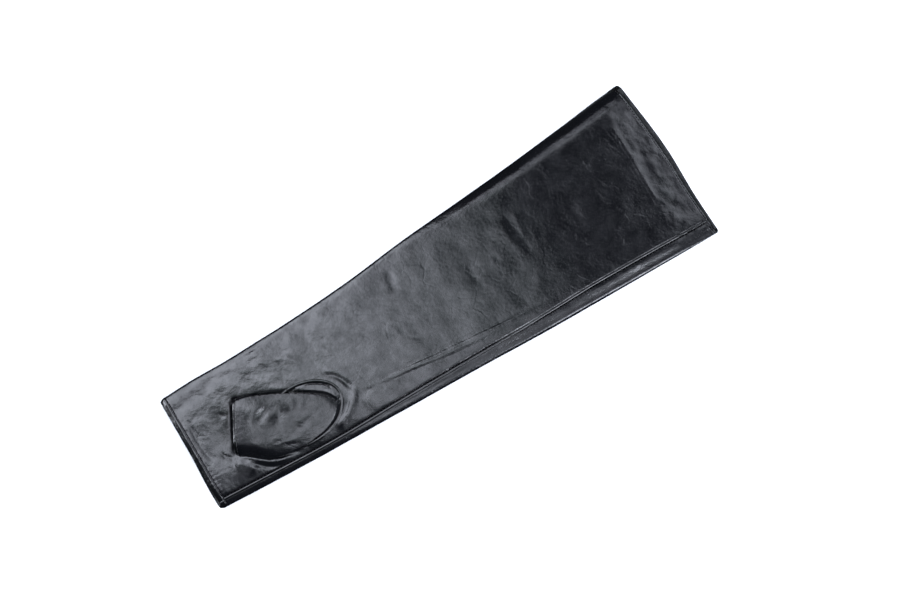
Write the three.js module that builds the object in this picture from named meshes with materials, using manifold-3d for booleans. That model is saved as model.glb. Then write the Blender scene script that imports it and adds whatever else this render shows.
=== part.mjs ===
// A long fingerless glove of black nappa leather for the left hand, lying flat with its palm up.
// Millimetres. X runs from the fingers to the upper arm, Y across the glove, Z up from the table.
// The thumb lies folded over the palm and points to the fingers.
import * as THREE from 'three';
import Module from 'manifold-3d';

const wasm = await Module();
wasm.setup();

// Driving dimensions
const leather = 1.0; // thickness of the skin
const clearance = 0.3; // room between two layers that lie on each other
const foldRadius = 3.8; // outer radius of the two long folded edges
const crown = 2; // rise of the palm above the folded edges
const shoulder = 16; // width of the slope that the palm rises over
const handHemWidth = 4.5; // visible strip of the hem round the fingers
const armHemWidth = 2.4; // visible strip of the hem round the arm
const thumbHemWidth = 3; // visible strip of the hem round the thumb
const sleeveLeaf = 5; // leather turned in past the stitches of the hand and arm hems
const thumbLeaf = 3.5; // leather turned in past the stitches of the thumb's hem
const hemPuff = 0.35; // how far a hem strip stands proud
const hemCrest = 0.55; // where a hem strip is fullest, as a share of its width
const slotWidth = 2.2; // opening that the side seam closes
const ribWidth = 1.6; // width of the side seam's welt
const ribProud = 0.3; // how far the welt stands proud
const seamOverlap = 2; // seam allowance under the palm
const hole = { x: -122, y: -18.9, halfLength: 28.7, halfWidth: 19.8 }; // thumb hole
const rimHalfWidth = 1; // half width of the rolled rim round the thumb hole
const rimProud = 0.5; // how far that rim stands proud
const thumbFlange = 2.4; // seam allowance of the thumb past the hole's outline
const flangeDrop = 0.1; // extra room between that allowance and the palm

// Steps of the faceted surfaces
const foldSteps = 6;
const backSteps = 4;
const palmSteps = 17;
const thumbColumns = 32;
const rimColumns = 40;
const thumbRows = 12;

// Half widths of the flat glove, and how far the side seam runs from the seamed edge
const outline = [
  { x: -204, plain: 43.4, seamed: 43.8, seam: 5.4 },
  { x: -175, plain: 43.9, seamed: 46.1, seam: 5.6 },
  { x: -150, plain: 43.0, seamed: 48.0, seam: 5.4 },
  { x: -125, plain: 43.1, seamed: 49.8, seam: 5.2 },
  { x: -100, plain: 43.4, seamed: 51.3, seam: 5.4 },
  { x: -50, plain: 45.5, seamed: 54.1, seam: 7.1 },
  { x: 0, plain: 50.2, seamed: 56.9, seam: 8.3 },
  { x: 50, plain: 53.8, seamed: 60.3, seam: 9.5 },
  { x: 100, plain: 57.4, seamed: 62.7, seam: 11.2 },
  { x: 150, plain: 61.8, seamed: 64.8, seam: 11.1 },
  { x: 190, plain: 65.6, seamed: 66.3, seam: 10.7 },
  { x: 204, plain: 66.5, seamed: 66.5, seam: 10.6 },
];

// Where the palm and the back end at the two mouths, across the glove
const mouths = [
  { y: -66, palmHand: -201.4, backHand: -203.0, palmArm: 196.4, backArm: 198.8 },
  { y: -30, palmHand: -201.8, backHand: -203.7, palmArm: 197.0, backArm: 200.3 },
  { y: 0, palmHand: -201.5, backHand: -202.2, palmArm: 198.8, backArm: 203.3 },
  { y: 24, palmHand: -201.2, backHand: -200.8, palmArm: 199.4, backArm: 203.8 },
  { y: 66, palmHand: -201.0, backHand: -200.6, palmArm: 199.0, backArm: 202.6 },
];

// Zones of cross sections along the glove, closest together round the thumb
const zones = [
  { from: -196.5, to: -180, steps: 3 },
  { from: -180, to: -78, steps: 17 },
  { from: -78, to: 196, steps: 18 },
];

// Folds and hollows of the palm: a ridge between two points, its half width and height
const folds = [
  { x1: -169, y1: -5, x2: -160, y2: -10, width: 19.5, height: -2.1 },
  { x1: -80, y1: -13, x2: -83.5, y2: -26, width: 5, height: 0.9 },
  { x1: -83.5, y1: -26, x2: -92, y2: -34.5, width: 5, height: 0.9 },
  { x1: -92, y1: -34.5, x2: -102, y2: -40, width: 5, height: 0.8 },
  { x1: -76, y1: -20.5, x2: -46, y2: -28, width: 5, height: 0.6 },
  { x1: -46, y1: -28, x2: 8, y2: -36.5, width: 5, height: 0.6 },
  { x1: 8, y1: -36.5, x2: 71, y2: -45, width: 5, height: 0.5 },
  { x1: -166, y1: -37, x2: -181, y2: -25, width: 5, height: 0.8 },
  { x1: -150, y1: 29, x2: -104, y2: 22, width: 8, height: 0.6 },
  { x1: 17.6, y1: 40, x2: 6.8, y2: -5, width: 7, height: 0.5 },
  { x1: 62, y1: 27, x2: 61, y2: 0, width: 7, height: 0.5 },
  { x1: 47, y1: 41, x2: 135, y2: 45, width: 6, height: 0.6 },
  { x1: 135, y1: 45, x2: 186, y2: 50, width: 6, height: 0.6 },
  { x1: 187, y1: 25, x2: 171, y2: -50, width: 6, height: 0.5 },
];

// Cross sections of the thumb from its root to its mouth: the middle of its upper side, the
// middle of its underside, its two side folds, and how square the section is (1 is an ellipse)
const thumbSections = [
  { top: [-97.3, -20, 10.9], under: [-151, -18.6, 9.9], up: [-120, -2.6, 10.7], low: [-124, -37.7, 10.9], bow: 1 },
  { top: [-104, -20.5, 13], under: [-152.2, -17.8, 9.8], up: [-118, -4, 12.4], low: [-129, -38.3, 11.5], bow: 0.95 },
  { top: [-116, -19, 14.8], under: [-153.6, -16.6, 9.6], up: [-124.5, 0.3, 13.4], low: [-136, -37.9, 11.6], bow: 0.9 },
  { top: [-130, -16, 16.2], under: [-156, -14.6, 9.4], up: [-133, 4.8, 13.8], low: [-145, -36.5, 11.4], bow: 0.85 },
  { top: [-143.5, -11.4, 17.2], under: [-159.2, -11.8, 9], up: [-142, 8.9, 13.4], low: [-155, -33, 11.6], bow: 0.8 },
  { top: [-155.5, -6, 17.9], under: [-163.4, -7.2, 8.7], up: [-150.4, 12.2, 13.3], low: [-165.5, -25.4, 11.6], bow: 0.75 },
  { top: [-166, -0.9, 18.2], under: [-168.5, -2.3, 8.6], up: [-157.6, 14.4, 13.2], low: [-175, -17.2, 11.6], bow: 0.7 },
];

const mix = THREE.MathUtils.lerp;
const clamp = THREE.MathUtils.clamp;
const smooth = (share) => THREE.MathUtils.smoothstep(share, 0, 1);

// A smooth curve through four values, between the middle two
function curve(a, b, c, d, share) {
  const slopeIn = (c - a) / 2;
  const slopeOut = (d - b) / 2;
  const bend = 3 * (c - b) - 2 * slopeIn - slopeOut;
  const twist = slopeIn + slopeOut - 2 * (c - b);
  return b + share * (slopeIn + share * (bend + share * twist));
}

// The value of a table's column at a place between its rows, along a smooth curve
function lookUp(table, key, place, name) {
  let row = 0;
  while (row < table.length - 2 && place > table[row + 1][key]) row += 1;
  const value = (index) => table[clamp(index, 0, table.length - 1)][name];
  const share = clamp((place - table[row][key]) / (table[row + 1][key] - table[row][key]), 0, 1);
  return curve(value(row - 1), value(row), value(row + 1), value(row + 2), share);
}

const plainEdge = (x) => lookUp(outline, 'x', x, 'plain');
const seamedEdge = (x) => -lookUp(outline, 'x', x, 'seamed');
const seamLine = (x) => seamedEdge(x) + lookUp(outline, 'x', x, 'seam');

// The height of one fold at a point of the palm
function foldHeight(fold, x, y) {
  const alongX = fold.x2 - fold.x1;
  const alongY = fold.y2 - fold.y1;
  const share = ((x - fold.x1) * alongX + (y - fold.y1) * alongY) / (alongX ** 2 + alongY ** 2);
  const nearest = clamp(share, 0, 1);
  const away = Math.hypot(x - fold.x1 - nearest * alongX, y - fold.y1 - nearest * alongY);
  return fold.height * Math.exp(-((away / fold.width) ** 2));
}

// The outer surface of the palm: a low crown between the folded edges, with its folds
function palmHeight(x, y) {
  const fromPlain = clamp(plainEdge(x) - foldRadius - y, 0, shoulder);
  const fromSeamed = clamp(y - seamedEdge(x) - foldRadius, 0, shoulder);
  const rise = (away) => 1 - (1 - away / shoulder) ** 2;
  const heights = folds.map((fold) => foldHeight(fold, x, y));
  const relief = Math.max(0, ...heights) + Math.min(0, ...heights);
  const fade = smooth(Math.min(fromPlain, fromSeamed) / (shoulder / 3));
  return 2 * foldRadius + crown * rise(fromPlain) * rise(fromSeamed) + relief * fade;
}

// The glove's cross section as columns: from the slot of the side seam round the seamed fold,
// along the back, round the plain fold and across the palm to the other side of the slot
const columns = [{ run: 'slot', side: -0.5, palmShare: 1 }];
const foldAngle = (step) => Math.PI * (0.5 - step / foldSteps);
for (let step = 0; step <= foldSteps; step += 1) {
  columns.push({ run: 'seamedFold', angle: foldAngle(step), palmShare: 1 - smooth(step / foldSteps) });
}
for (let step = 1; step < backSteps; step += 1) {
  columns.push({ run: 'back', share: step / backSteps, palmShare: 0 });
}
for (let step = 0; step <= foldSteps; step += 1) {
  columns.push({ run: 'plainFold', angle: -foldAngle(step), palmShare: smooth(step / foldSteps) });
}
for (let step = 1; step <= palmSteps; step += 1) {
  columns.push({ run: 'palm', share: step / palmSteps, palmShare: 1 });
}
columns.push({ run: 'slot', side: 0.5, palmShare: 1 });

const palmPoint = (x, y, depth) => [x, y, palmHeight(x, y) - depth];

// A point of the glove's skin, at a depth below its outer surface
function skinPoint(x, column, depth) {
  const plainCentre = plainEdge(x) - foldRadius;
  const seamedCentre = seamedEdge(x) + foldRadius;
  const radius = foldRadius - depth;
  if (column.run === 'slot') return palmPoint(x, seamLine(x) + column.side * slotWidth, depth);
  if (column.run === 'back') return [x, mix(seamedCentre, plainCentre, column.share), depth];
  if (column.run === 'palm') {
    const allowance = seamLine(x) + slotWidth / 2 + seamOverlap;
    return palmPoint(x, mix(plainCentre, allowance, column.share), depth);
  }
  const centre = column.run === 'plainFold' ? plainCentre : seamedCentre;
  const outwards = column.run === 'plainFold' ? 1 : -1;
  const y = centre + outwards * radius * Math.cos(column.angle);
  return [x, y, foldRadius + radius * Math.sin(column.angle)];
}

// Where one column of the section meets a mouth
function mouthX(end, column) {
  const middle = end === 'Hand' ? mouths[2].palmHand : mouths[2].palmArm;
  const y = skinPoint(middle, column, 0)[1];
  const back = lookUp(mouths, 'y', y, `back${end}`);
  const palm = lookUp(mouths, 'y', y, `palm${end}`);
  return mix(back, palm, column.palmShare);
}
const handMouth = columns.map((column) => mouthX('Hand', column));
const armMouth = columns.map((column) => mouthX('Arm', column));

// A closed mesh from points and triangles, turned so that its faces point out
function closedMesh(points, triangles) {
  const volume = triangles.reduce((sum, [a, b, c]) => {
    const normal = new THREE.Vector3(...points[b]).cross(new THREE.Vector3(...points[c]));
    return sum + new THREE.Vector3(...points[a]).dot(normal);
  }, 0);
  const index = volume > 0 ? triangles : triangles.map(([a, b, c]) => [a, c, b]);
  const geometry = new THREE.BufferGeometry();
  geometry.setAttribute('position', new THREE.Float32BufferAttribute(points.flat(), 3));
  geometry.setIndex(index.flat());
  geometry.computeVertexNormals();
  return geometry;
}

// The triangles between closed rows of points that follow each other
function sideTriangles(rowCount, rowLength, joinEnds) {
  const triangles = [];
  const last = joinEnds ? rowCount : rowCount - 1;
  for (let row = 0; row < last; row += 1) {
    for (let step = 0; step < rowLength; step += 1) {
      const next = (step + 1) % rowLength;
      const here = row * rowLength;
      const there = ((row + 1) % rowCount) * rowLength;
      triangles.push([here + step, here + next, there + next]);
      triangles.push([here + step, there + next, there + step]);
    }
  }
  return triangles;
}

// A ring whose rows of points close on themselves both ways
function ringSolid(rows) {
  return closedMesh(rows.flat(), sideTriangles(rows.length, rows[0].length, true));
}

// A wall along X whose rows hold its outer points and then its inner ones, back the same way
function wallSolid(rows) {
  const count = rows[0].length;
  const lastRow = (rows.length - 1) * count;
  const triangles = sideTriangles(rows.length, count, false);
  for (let step = 0; step < count / 2 - 1; step += 1) {
    const across = count - 1 - step;
    triangles.push([step, across, step + 1], [step + 1, across, across - 1]);
    const end = [step, step + 1, across, across - 1].map((corner) => corner + lastRow);
    triangles.push([end[0], end[1], end[2]], [end[1], end[3], end[2]]);
  }
  return closedMesh(rows.flat(), triangles);
}

// A bar along X whose rows are closed outlines, each with its lower side first, towards +Y
function barSolid(rows) {
  const triangles = sideTriangles(rows.length, rows[0].length, false);
  const lastRow = (rows.length - 1) * rows[0].length;
  const flat = rows[0].map(([, y, z]) => new THREE.Vector2(y, z));
  const flatEnd = rows.at(-1).map(([, y, z]) => new THREE.Vector2(y, z));
  for (const [a, b, c] of THREE.ShapeUtils.triangulateShape(flat, [])) triangles.push([a, c, b]);
  for (const face of THREE.ShapeUtils.triangulateShape(flatEnd, [])) {
    triangles.push(face.map((corner) => corner + lastRow));
  }
  return closedMesh(rows.flat(), triangles);
}

// An upright prism over an outline
function closedPrism(outlinePoints, low, high) {
  const rows = [low, high].map((z) => outlinePoints.map(([x, y]) => [x, y, z]));
  const count = outlinePoints.length;
  const triangles = sideTriangles(2, count, false);
  for (let step = 1; step < count - 1; step += 1) {
    triangles.push([0, step + 1, step]);
    triangles.push([count, count + step, count + step + 1]);
  }
  return closedMesh(rows.flat(), triangles);
}

function toManifold(geometry) {
  const vertProperties = geometry.getAttribute('position').array;
  const triVerts = new Uint32Array(geometry.getIndex().array);
  return new wasm.Manifold(new wasm.Mesh({ numProp: 3, vertProperties, triVerts }));
}

function fromManifold(solid) {
  const mesh = solid.getMesh();
  const geometry = new THREE.BufferGeometry();
  geometry.setAttribute('position', new THREE.Float32BufferAttribute(mesh.vertProperties, 3));
  geometry.setIndex([...mesh.triVerts]);
  geometry.computeVertexNormals();
  return geometry;
}

// A point of the thumb hole's outline, moved outwards by an offset
function holePoint(angle, offset) {
  const across = hole.halfWidth * Math.cos(angle);
  const along = hole.halfLength * Math.sin(angle);
  const length = Math.hypot(across, along);
  const x = hole.x + hole.halfLength * Math.cos(angle) + (offset * across) / length;
  const y = hole.y + hole.halfWidth * Math.sin(angle) + (offset * along) / length;
  return [x, y];
}

const turn = (step, steps) => (2 * Math.PI * step) / steps;
const around = (steps, place) => Array.from({ length: steps }, (_, step) => place(turn(step, steps)));
const holeRow = (steps, offset, depth) => around(steps, (angle) => palmPoint(...holePoint(angle, offset), depth));

// Places of the cross sections along the skin, as shares of its length
const stations = [];
const skinStart = zones[0].from;
const skinEnd = zones.at(-1).to;
for (const zone of zones) {
  for (let step = 0; step < zone.steps; step += 1) {
    stations.push((mix(zone.from, zone.to, step / zone.steps) - skinStart) / (skinEnd - skinStart));
  }
}
stations.push(1);

// Hand and arm: one skin wrapped round, open at both mouths, along the side seam and at the thumb
function sleeve() {
  const rows = stations.map((share) => {
    const outer = columns.map((column, index) => {
      const start = handMouth[index] + handHemWidth + clearance;
      const end = armMouth[index] - armHemWidth - clearance;
      return skinPoint(mix(start, end, share), column, 0);
    });
    const inner = columns.map((column, index) => skinPoint(outer[index][0], column, leather));
    return [...outer, ...inner.reverse()];
  });
  const cut = rimHalfWidth + clearance;
  const above = 4 * foldRadius;
  const wall = around(rimColumns, (angle) => holePoint(angle, cut));
  const plug = closedPrism(wall, foldRadius, above);
  return fromManifold(toManifold(wallSolid(rows)).subtract(toManifold(plug)));
}

// A hem's section: distance in from the mouth, and depth below the outer surface
function hemProfile(width, leaf) {
  const inside = 2 * leather + clearance;
  const round = leather / 2;
  return [
    { inward: round, depth: 0 },
    { inward: width * hemCrest, depth: -hemPuff },
    { inward: width, depth: 0 },
    { inward: width, depth: leather + clearance },
    { inward: width + leaf, depth: leather + clearance },
    { inward: width + leaf, depth: inside },
    { inward: round, depth: inside },
    { inward: 0, depth: inside - round },
    { inward: 0, depth: round },
  ];
}

// The hem round one end of the sleeve: a strip turned in and under the skin, flat on its back
function sleeveHem(mouth, inwards, width) {
  const rows = hemProfile(width, sleeveLeaf).map(({ inward, depth }) =>
    columns.map((column, index) => {
      const pressed = depth < 0 ? depth * column.palmShare : depth;
      return skinPoint(mouth[index] + inwards * inward, column, pressed);
    }));
  return ringSolid(rows);
}

// The side seam: a narrow welt that fills the slot, on an allowance under both of its sides
function sideSeam() {
  const slotColumn = columns[0];
  const foldColumn = columns[2];
  const foldTop = columns[1];
  const start = handMouth[0] + handHemWidth + clearance;
  const end = armMouth[0] - armHemWidth - clearance;
  const leafStart = start + sleeveLeaf + clearance;
  const leafEnd = end - sleeveLeaf - clearance;
  const places = stations.map((share) => mix(start, end, share));
  const shelf = leather + clearance;
  const weltPoint = (x, side, depth) => palmPoint(x, seamLine(x) + (side * ribWidth) / 2, depth);
  const welt = places.map((x) => [
    weltPoint(x, -1, leather),
    weltPoint(x, 1, leather),
    weltPoint(x, 1, -ribProud),
    weltPoint(x, -1, -ribProud),
  ]);
  const inner = places.filter((x) => x > leafStart && x < leafEnd);
  const allowance = [leafStart, ...inner, leafEnd].map((x) => {
    const sides = (depth) => [
      skinPoint(x, foldColumn, depth),
      skinPoint(x, foldTop, depth),
      skinPoint(x, slotColumn, depth),
      skinPoint(x, columns.at(-1), depth),
      skinPoint(x, columns.at(-2), depth),
    ];
    const upper = sides(shelf).reverse();
    const web = [weltPoint(x, 1, shelf), weltPoint(x, 1, 0), weltPoint(x, -1, 0), weltPoint(x, -1, shelf)];
    return [...sides(shelf + leather), ...upper.slice(0, 2), ...web, ...upper.slice(2)];
  });
  return fromManifold(toManifold(barSolid(welt)).add(toManifold(barSolid(allowance))));
}

// The rolled rim that stands round the thumb hole, between the palm and the thumb
function thumbHoleRim() {
  const round = rimHalfWidth / 2;
  const profile = [
    { offset: -rimHalfWidth, depth: leather },
    { offset: -rimHalfWidth, depth: -rimProud / 2 },
    { offset: -round, depth: -rimProud },
    { offset: round, depth: -rimProud },
    { offset: rimHalfWidth, depth: -rimProud / 2 },
    { offset: rimHalfWidth, depth: leather },
  ];
  return ringSolid(profile.map(({ offset, depth }) => holeRow(rimColumns, offset, depth)));
}

// One corner point of the thumb's sections at a place between two of them
function thumbCorner(name, place) {
  const row = clamp(Math.floor(place), 0, thumbSections.length - 2);
  const value = (index) => thumbSections[clamp(index, 0, thumbSections.length - 1)][name];
  const points = [row - 1, row, row + 1, row + 2].map(value);
  const axes = [0, 1, 2].map((axis) => curve(...points.map((point) => point[axis]), place - row));
  return new THREE.Vector3(...axes);
}

// A point of the thumb's skin: the place along the thumb, the angle round it from the middle of
// its upper side, and the depth below its outer surface
function thumbPoint(place, angle, depth) {
  const up = thumbCorner('up', place);
  const low = thumbCorner('low', place);
  const centre = up.clone().add(low).multiplyScalar(0.5);
  const ridge = thumbCorner(Math.cos(angle) >= 0 ? 'top' : 'under', place);
  const half = up.sub(centre);
  const rise = ridge.sub(centre);
  half.setLength(half.length() - depth);
  rise.setLength(rise.length() - depth);
  const row = clamp(Math.floor(place), 0, thumbSections.length - 2);
  const bow = mix(thumbSections[row].bow, thumbSections[row + 1].bow, place - row);
  const sideways = Math.sign(Math.sin(angle)) * Math.abs(Math.sin(angle)) ** bow;
  const upwards = Math.abs(Math.cos(angle)) ** bow;
  return centre.addScaledVector(half, sideways).addScaledVector(rise, upwards).toArray();
}

// The place along the thumb that lies a given distance in from its mouth
const thumbMouth = thumbSections.length - 1;
function thumbPlace(angle, inward) {
  const mouth = new THREE.Vector3(...thumbPoint(thumbMouth, angle, 0));
  const before = new THREE.Vector3(...thumbPoint(thumbMouth - 1, angle, 0));
  return thumbMouth - inward / mouth.distanceTo(before);
}

// The thumb: a flattened tube out of the hole, with a flange under the palm round its root
function thumb() {
  const shelf = leather + clearance + flangeDrop;
  const inside = -rimHalfWidth - clearance;
  const aboveRim = -rimProud - clearance;
  const tube = (depth) => Array.from({ length: thumbRows + 1 }, (_, row) =>
    around(thumbColumns, (angle) => {
      const end = thumbPlace(angle, thumbHemWidth + clearance);
      return thumbPoint((end * row) / thumbRows, angle, depth);
    }));
  const root = [
    holeRow(thumbColumns, thumbFlange, shelf),
    holeRow(thumbColumns, inside, shelf),
    holeRow(thumbColumns, inside, aboveRim),
  ];
  const lining = [
    holeRow(thumbColumns, thumbFlange, shelf + leather),
    holeRow(thumbColumns, inside - leather, shelf + leather),
    holeRow(thumbColumns, inside - leather, aboveRim),
  ];
  return ringSolid([...root, ...tube(0), ...tube(leather).reverse(), ...lining.reverse()]);
}

// The hem round the thumb's mouth
function thumbHem() {
  const rows = hemProfile(thumbHemWidth, thumbLeaf).map(({ inward, depth }) =>
    around(thumbColumns, (angle) => thumbPoint(thumbPlace(angle, inward), angle, depth)));
  return ringSolid(rows);
}

// Finishes
const nappa = { color: 0x1b1c20, roughness: 0.42, metalness: 0 };
const turnedEdge = { color: 0x141518, roughness: 0.5, metalness: 0 };

function piece(name, geometry, finish) {
  const mesh = new THREE.Mesh(geometry, new THREE.MeshStandardMaterial(finish));
  mesh.name = name;
  return mesh;
}

const glove = new THREE.Group();
glove.add(piece('sleeve', sleeve(), nappa));
glove.add(piece('side_seam', sideSeam(), turnedEdge));
glove.add(piece('hand_hem', sleeveHem(handMouth, 1, handHemWidth), turnedEdge));
glove.add(piece('arm_hem', sleeveHem(armMouth, -1, armHemWidth), turnedEdge));
glove.add(piece('thumb', thumb(), nappa));
glove.add(piece('thumb_hem', thumbHem(), turnedEdge));
glove.add(piece('thumb_hole_rim', thumbHoleRim(), turnedEdge));

export default glove;
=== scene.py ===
# %% [markdown]
# # A long fingerless leather glove
# A black nappa glove lies flat with its palm up: an open tube for the hand and arm, with a short
# open thumb folded over the palm. This notebook dresses the glove's frame in fine leather,
# sewn edges and stitches. Sizes in the tables are millimetres, and meshes are made in metres.

# %% The frame and its box
import math
import bpy
import numpy as np
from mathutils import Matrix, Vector, noise


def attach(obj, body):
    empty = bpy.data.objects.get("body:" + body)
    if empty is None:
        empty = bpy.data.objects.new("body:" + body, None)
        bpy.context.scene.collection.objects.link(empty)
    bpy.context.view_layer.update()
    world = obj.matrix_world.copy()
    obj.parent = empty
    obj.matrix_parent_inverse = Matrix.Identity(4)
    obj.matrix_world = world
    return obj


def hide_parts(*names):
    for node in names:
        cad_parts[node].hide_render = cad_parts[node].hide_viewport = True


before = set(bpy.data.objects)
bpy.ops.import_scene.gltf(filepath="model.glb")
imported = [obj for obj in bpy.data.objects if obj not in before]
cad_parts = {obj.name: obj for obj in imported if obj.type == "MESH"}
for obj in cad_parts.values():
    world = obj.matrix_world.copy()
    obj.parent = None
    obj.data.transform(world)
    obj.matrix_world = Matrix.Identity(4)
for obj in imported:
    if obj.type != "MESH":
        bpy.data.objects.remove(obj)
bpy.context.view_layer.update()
MM = 0.001
print("frame nodes:", sorted(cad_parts))

# %% [markdown]
# ## The camera
# A product photograph is taken from almost straight above, with a normal lens. Placing the
# camera first means that every later step can be judged in the final view. An azimuth and an
# elevation round a target are easier to change than a location and three angles.

# %% Camera
CAMERA = {"azimuth": -32.75, "elevation": 76, "distance": 891.4, "target": (10.2, -0.3, 0), "lens": 50}


def direction(azimuth, elevation):
    """The unit vector from the target towards something at an azimuth and elevation."""
    a, e = math.radians(azimuth), math.radians(elevation)
    return Vector((math.sin(a) * math.cos(e), -math.cos(a) * math.cos(e), math.sin(e)))


def place_object(name, data):
    """A new object in the scene."""
    made = bpy.data.objects.new(name, data)
    bpy.context.scene.collection.objects.link(made)
    return made


def look_along(made, arrow):
    """Turns a camera or a lamp to look along an arrow."""
    made.rotation_mode = "QUATERNION"
    made.rotation_quaternion = arrow.to_track_quat("-Z", "Y")


camera = place_object("camera", bpy.data.cameras.new("camera"))
towards = direction(CAMERA["azimuth"], CAMERA["elevation"])
camera.location = (Vector(CAMERA["target"]) + towards * CAMERA["distance"]) * MM
look_along(camera, -towards)
camera.data.lens = CAMERA["lens"]
bpy.context.scene.camera = camera
print("camera at", [round(c, 3) for c in camera.location])

# %% [markdown]
# ## The light
# Smooth black leather has almost no colour of its own. What the eye reads is the mirror image of
# the lights in it: bright where the skin faces a light, dark where a fold turns away. A bank of
# soft panels hangs above the table. Each is named for the part of the glove whose mirror image
# falls on it, and is as bright as that part should look, so the shine fades along the arm. Two
# boxes further out whiten the floor. The floor and those boxes stay out of the mirror image, as
# behind the black flags that a photographer stands round a dark, shiny thing.

# %% Studio
BANK_HEIGHT = 1.20
PANELS = {
    # name: from x, to x, from y and to y in metres, brightness
    "thumb_mouth": (-2.20, -0.88, 0.74, 1.35, 13.0),
    "hand_left": (-0.62, -0.30, 0.225, 0.72, 5.6),
    "hand_right": (-0.30, -0.20, 0.265, 0.72, 5.8),
    "hand_inner": (-0.20, -0.12, 0.235, 0.72, 5.8),
    "hand_low": (-0.62, -0.12, -0.20, 0.225, 0.6),
    "heel": (-0.12, -0.02, -0.30, 0.72, 4.5),
    "wrist": (-0.02, 0.09, -0.30, 0.72, 3.2),
    "forearm": (0.09, 0.17, -0.30, 0.72, 2.3),
    "arm": (0.17, 0.30, -0.25, 0.72, 1.6),
    "arm_fade": (0.30, 0.35, -0.20, 0.72, 0.3),
    "arm_end": (0.72, 0.95, -0.20, 0.72, 1.5),
    "arm_far": (0.95, 1.25, -0.20, 0.72, 3.0),
    "arm_glint": (1.50, 2.60, -0.20, 0.72, 7.0),
    "edge_hand": (-0.55, 0.20, 0.72, 1.25, 6.0),
    "edge_arm": (0.23, 0.83, 0.77, 1.03, 3.0),
    "seam_mid": (-0.12, 0.24, -0.78, -0.32, 0.9),
    "seam_strip": (0.24, 0.62, -0.62, -0.27, 1.8),
    "seam_arm": (0.20, 0.78, -1.50, -0.65, 14.0),
}
FLOOR_BOXES = (
    # name, centre, width and height, power in watts
    ("front_box", (0.50, -1.25, 0.95), (1.50, 1.00), 42.0),
    ("far_box", (-0.65, 1.95, 0.90), (1.80, 0.90), 40.0),
)
SOFTBOXES = []
for name, (x1, x2, y1, y2, brightness) in PANELS.items():
    centre, wide, tall = ((x1 + x2) / 2, (y1 + y2) / 2, BANK_HEIGHT), x2 - x1, y2 - y1
    SOFTBOXES.append((f"{name}_panel", centre, (wide, tall), brightness * math.pi * wide * tall))
LIGHT_COLOUR = (0.85, 0.895, 1.0)
WORLD_LIGHT = 0.02
FLOOR_SIZE = 6.0


def new_material(name, roughness):
    """A new material with its node tree and its shader."""
    material = bpy.data.materials.new(name)
    material.use_nodes = True
    shader = material.node_tree.nodes["Principled BSDF"]
    shader.inputs["Roughness"].default_value = roughness
    return material, material.node_tree, shader


for name, centre, (wide, tall), watts in (*SOFTBOXES, *FLOOR_BOXES):
    lamp = bpy.data.lights.new(name, "AREA")
    lamp.shape, lamp.size, lamp.size_y, lamp.energy = "RECTANGLE", wide, tall, watts
    lamp.color = LIGHT_COLOUR
    box = place_object(name, lamp)
    box.location = centre
    for_floor = name.endswith("_box")
    aim = Vector((0, 0, 0)) if for_floor else Vector((centre[0], centre[1], 0))
    look_along(box, aim - box.location)
    box.visible_glossy = not for_floor

world = bpy.data.worlds.new("studio")
world.use_nodes = True
world.node_tree.nodes["Background"].inputs["Color"].default_value = (0.97, 0.98, 1.0, 1)
world.node_tree.nodes["Background"].inputs["Strength"].default_value = WORLD_LIGHT
bpy.context.scene.world = world
bpy.context.scene.view_settings.view_transform = "Standard"

half = FLOOR_SIZE / 2
corners = [(-half, -half, 0), (half, -half, 0), (half, half, 0), (-half, half, 0)]
floor_mesh = bpy.data.meshes.new("floor")
floor_mesh.from_pydata(corners, [], [(0, 1, 2, 3)])
floor = place_object("floor", floor_mesh)
white, _, shader = new_material("white_table", roughness=0.7)
shader.inputs["Base Color"].default_value = (0.93, 0.94, 0.95, 1)
floor.data.materials.append(white)
floor.visible_glossy = False
print(len(PANELS), "panels above the glove and", len(FLOOR_BOXES), "boxes that whiten the floor")

# %% [markdown]
# ## The pattern tables
# A glove maker cuts from paper patterns: half widths at stations along the arm, and the line of
# each mouth. Short tables with a smooth curve through their rows do the same job here, and the
# same tables drive every piece, so the sewn edges always meet.

# %% Tables
LEATHER = 1.0
FOLD_RADIUS = 3.8
# the palm rises by CROWN over the first SHOULDER millimetres from its seamed edge
CROWN = 2.0
SHOULDER = 16.0
HAND_HEM, ARM_HEM, THUMB_HEM = 4.5, 2.4, 3.0
# the skin is open along the side seam, under the welt
SLOT = 2.2
HOLE = {"x": -122.0, "y": -18.9, "half_length": 28.7, "half_width": 19.8}


def table(columns, *rows):
    """Rows of numbers under named columns."""
    return dict(zip(columns.split(), np.array(rows, float).T))


OUTLINE = table(
    "x plain seamed seam",
    (-204, 43.4, 43.8, 5.4),
    (-175, 43.9, 46.1, 5.6),
    (-150, 43.0, 48.0, 5.4),
    (-125, 43.1, 49.8, 5.2),
    (-100, 43.4, 51.3, 5.4),
    (-50, 45.5, 54.1, 7.1),
    (0, 50.2, 56.9, 8.3),
    (50, 53.8, 60.3, 9.5),
    (100, 57.4, 62.7, 11.2),
    (150, 61.8, 64.8, 11.1),
    (190, 65.6, 66.3, 10.7),
    (204, 66.5, 66.5, 10.6),
)
MOUTHS = table(
    "y palm_hand back_hand palm_arm back_arm",
    (-66, -201.4, -203.0, 196.4, 198.8),
    (-30, -201.8, -203.7, 197.0, 200.3),
    (0, -201.5, -202.2, 198.8, 203.3),
    (24, -201.2, -200.8, 199.4, 203.8),
    (66, -201.0, -200.6, 199.0, 202.6),
)


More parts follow.
